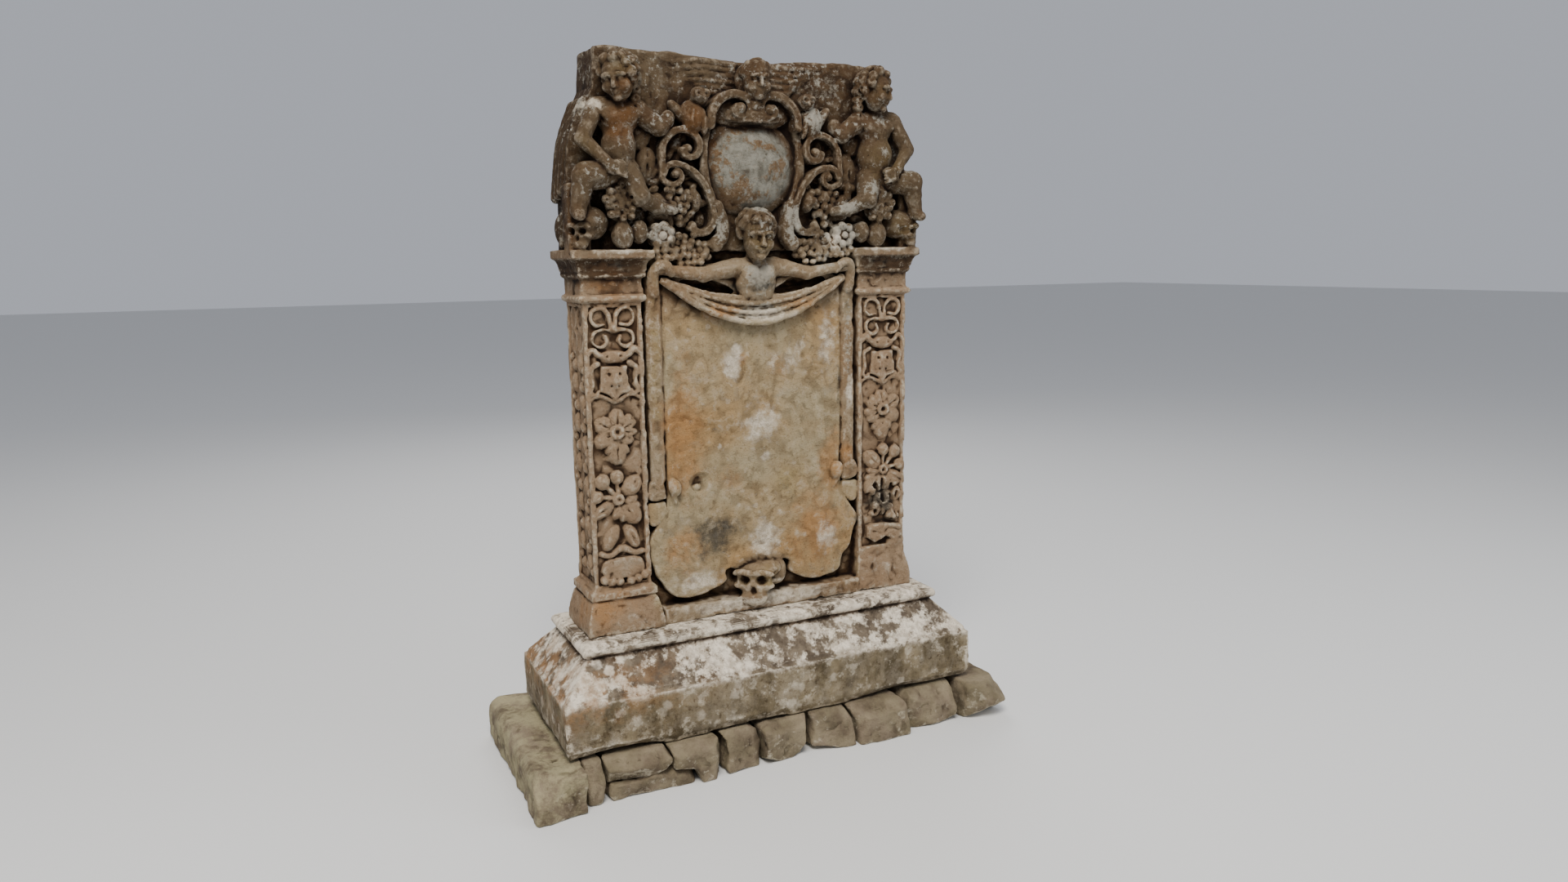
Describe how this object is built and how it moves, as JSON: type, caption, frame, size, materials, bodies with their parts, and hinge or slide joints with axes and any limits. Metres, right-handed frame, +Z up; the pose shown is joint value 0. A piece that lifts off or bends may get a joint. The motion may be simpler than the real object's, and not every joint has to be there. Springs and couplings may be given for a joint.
{
  "type": "carved headstone",
  "caption": "Upright carved sandstone headstone with pilasters, a hung cloth panel and a figured crest, on a moulded plinth and rough footing stones.",
  "frame": {"origin": "on the ground, under the middle of the stone", "axes": "+Z up, the carved front looks along -Y, +X to the right as seen from the front"},
  "size_m": [1.244, 0.524, 1.656],
  "materials": {
    "carved_sandstone": "matte",
    "plinth_sandstone": "matte",
    "footing_stone": "matte"
  },
  "bodies": {
    "root": {"headstone": "carved_sandstone", "plinth": "plinth_sandstone", "footing_front_1": "footing_stone", "footing_front_2": "footing_stone", "footing_front_3": "footing_stone", "footing_front_4": "footing_stone", "footing_front_5": "footing_stone", "footing_front_6": "footing_stone", "footing_front_7": "footing_stone", "footing_front_8": "footing_stone", "footing_front_9": "footing_stone", "footing_back_1": "footing_stone", "footing_back_2": "footing_stone", "footing_back_3": "footing_stone", "footing_back_4": "footing_stone", "footing_slab_left": "footing_stone", "footing_slab_right": "footing_stone"}
  },
  "joints": []
}
